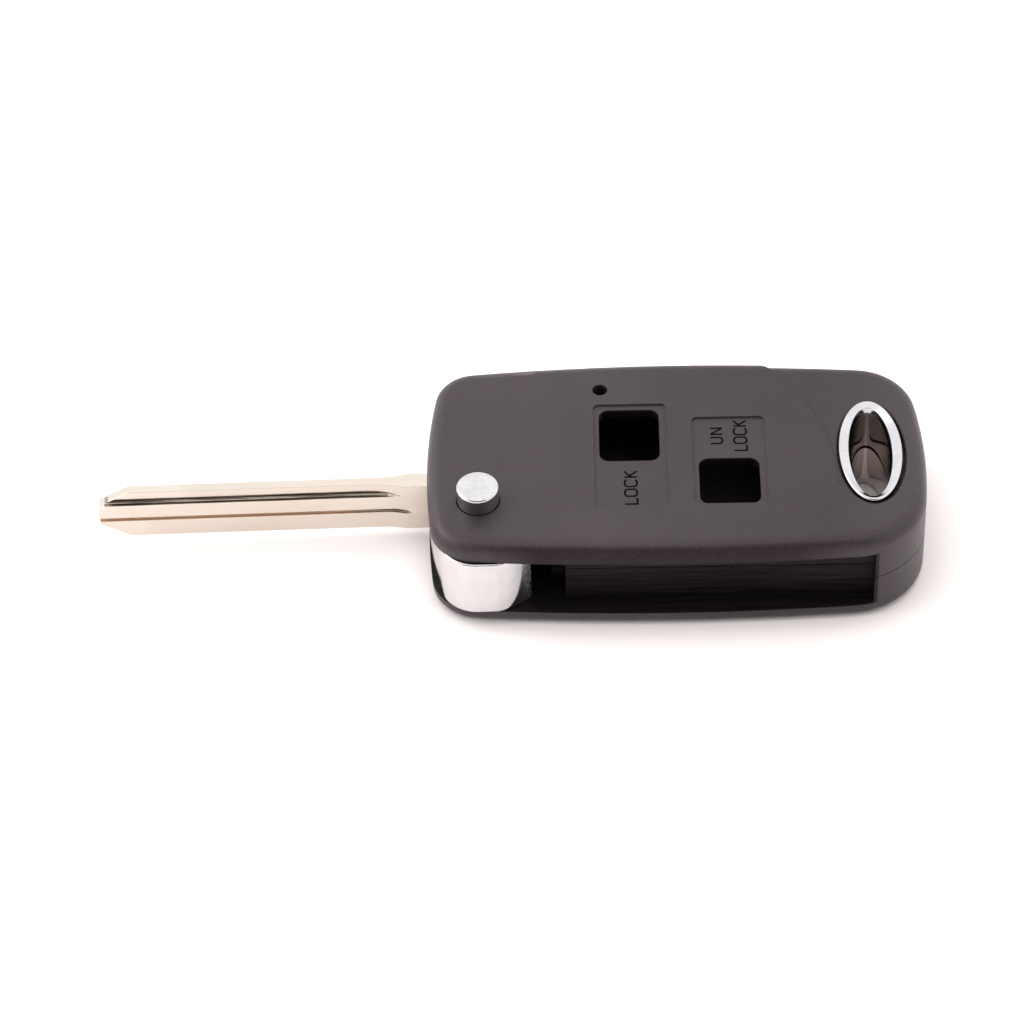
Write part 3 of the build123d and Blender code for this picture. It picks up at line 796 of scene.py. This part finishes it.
letter_lines = {
    "L": [np.array(((0.0, 1.0), (0.0, 0.0), (0.63, 0.0)))],
    "O": [np.vstack((racetrack(round_half, 0, 360), ((2 * round_half, 1 - cap_end),)))],
    "C": [racetrack(round_half, 20, 340)],
    "K": [
        np.array(((0.0, 1.0), (0.0, 0.0))),
        np.array(((0.62, 1.0), (0.04, 0.52))),
        np.array(((0.14, 0.58), (0.63, 0.0))),
    ],
    "U": [np.vstack(((0.0, 1.0), bow(180, 360, (0.35, 0.3), (0.35, 0.3)), (0.70, 1.0)))],
    "N": [
        np.array(((0.0, 0.0), (0.0, 1.0))),
        np.array(((0.02, 0.96), (0.67, 0.04))),
        np.array(((0.69, 0.0), (0.69, 1.0))),
    ],
}
letter_widths = {"L": 0.63, "O": 2 * round_half, "C": 0.73, "K": 0.63, "U": 0.70, "N": 0.69}
letter_spaces = {"LO": 0.2, "OC": 0.29, "CK": 0.3, "UN": 0.36}
print("letters drawn:", " ".join(letter_lines))

# %% [markdown]
# Every centreline becomes a thin flat strip. A curve object with a bevel would give it a width too,
# but its corners would be rounded. Here the strip's edges lie half a stroke to each side of the
# line, along the direction that halves the angle at each corner, so the strokes keep their width.

# %% Strips along the centrelines
field_top = 0.01455
stroke_width = 0.00028
ink_root = 0.00001
ink_proud = 0.000012
ink_low, ink_high = field_top - ink_root, field_top + ink_proud


def flat_strip(line, width, low, high):
    """Corners and faces of a strip with a box section along a centreline in the plane. Each corner is the
    point plus or minus half the width along the corner's own normal: the mean of its two runs' normals,
    lengthened so that both edges keep their distance. A line that ends where it starts makes a closed ring
    without end faces."""
    run = np.diff(line, axis=0)
    run /= np.linalg.norm(run, axis=1)[:, None]
    side = np.column_stack((-run[:, 1], run[:, 0]))
    closed = np.allclose(line[0], line[-1])
    if closed:
        line, before, after = line[:-1], np.roll(side, 1, axis=0), side
    else:
        before, after = np.vstack((side[:1], side)), np.vstack((side, side[-1:]))
    normal = (before + after) / 2
    normal /= (normal**2).sum(1)[:, None]
    left, right = line + normal * width / 2, line - normal * width / 2
    ring = np.stack((left, right, right, left), 1)
    height = np.array((high, high, low, low))
    heights = np.broadcast_to(height[None, :, None], (len(line), 4, 1))
    corners = np.concatenate((ring, heights), 2).reshape(-1, 3)
    start = 4 * np.arange(len(line) if closed else len(line) - 1)[:, None, None]
    following = (start + 4) % len(corners)
    edge = np.arange(4)[None, :, None]
    turn = (edge + 1) % 4
    sides = np.concatenate((start + edge, start + turn, following + turn, following + edge), 2).reshape(-1, 4)
    if closed:
        return corners, sides
    last = len(corners) - 4
    return corners, np.vstack((sides, ((3, 2, 1, 0), (last, last + 1, last + 2, last + 3))))


def legend(name, word, top_x, baseline_x, start_y, end_y, finish):
    """A word whose letters stand with their tops towards -X and follow each other towards +Y. Widths and
    spaces are stretched by one factor so that the word runs from start_y to end_y."""
    cap = baseline_x - top_x
    widths = [letter_widths[letter] for letter in word]
    spaces = [letter_spaces[pair] for pair in map("".join, zip(word, word[1:]))]
    stretch = (end_y - start_y) / (sum(widths) + sum(spaces))
    starts = start_y + stretch * np.concatenate(((0.0,), np.cumsum(np.array(widths[:-1]) + spaces)))
    corners, faces, count = [], [], 0
    for letter, letter_start in zip(word, starts):
        for line in letter_lines[letter]:
            placed = np.column_stack((baseline_x - line[:, 1] * cap, letter_start + line[:, 0] * stretch))
            strip_corners, strip_faces = flat_strip(placed, stroke_width, ink_low, ink_high)
            corners.append(strip_corners)
            faces.append(strip_faces + count)
            count += len(strip_corners)
    mesh = bpy.data.meshes.new(name)
    mesh.from_pydata(np.vstack(corners), [], np.vstack(faces).tolist())
    mesh.materials.append(finish)
    piece = bpy.data.objects.new(name, mesh)
    bpy.context.scene.collection.objects.link(piece)
    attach(piece, "casing")
    print(name, "has", len(mesh.polygons), "faces, letters", round(1000 * cap, 2), "mm high")


print("strokes are", round(1000 * stroke_width, 2), "mm wide")

# %% [markdown]
# The ink is a matt black, darker than the plastic, with a fine unevenness where it was pressed on.
# Plain black would nearly do at this size, but uneven ink keeps the strokes from looking like cuts.
# The first word stands beside the left window, and the other two beside the right one.

# %% Legends
cover_scale = 4000.0
cover_span = (0.4, 0.8)
cover_depth = 0.000004
plain_ink = (0.003, 0.002, 0.0025)
full_ink = (0.002, 0.0015, 0.002)
thin_ink = (0.007, 0.005, 0.006)
ink_shine = 0.03
ink_roughness = (0.6, 0.8)


def printing_ink():
    """Matt ink that is thinner and lighter in small spots."""
    finish, shader = bare_finish("printing_ink", plain_ink, roughness=0.7)
    shader.inputs["Specular IOR Level"].default_value = ink_shine
    cover = speckle(finish, cover_scale, detail=2.0)
    feed(
        finish,
        shader,
        Base_Color=tint(finish, ramp(finish, cover, *cover_span, 0.0, 1.0), full_ink, thin_ink),
        Roughness=ramp(finish, cover, *noise_span, *ink_roughness),
        Normal=relief(finish, cover, cover_depth),
    )
    return finish


ink = printing_ink()
legend("lock_legend", "LOCK", top_x=0.01995, baseline_x=0.02164, start_y=-0.00095, end_y=0.00529, finish=ink)
legend("un_legend", "UN", top_x=0.03190, baseline_x=0.03356, start_y=0.01033, end_y=0.01329, finish=ink)
legend("unlock_legend", "LOCK", top_x=0.03513, baseline_x=0.03686, start_y=0.00893, end_y=0.01470, finish=ink)
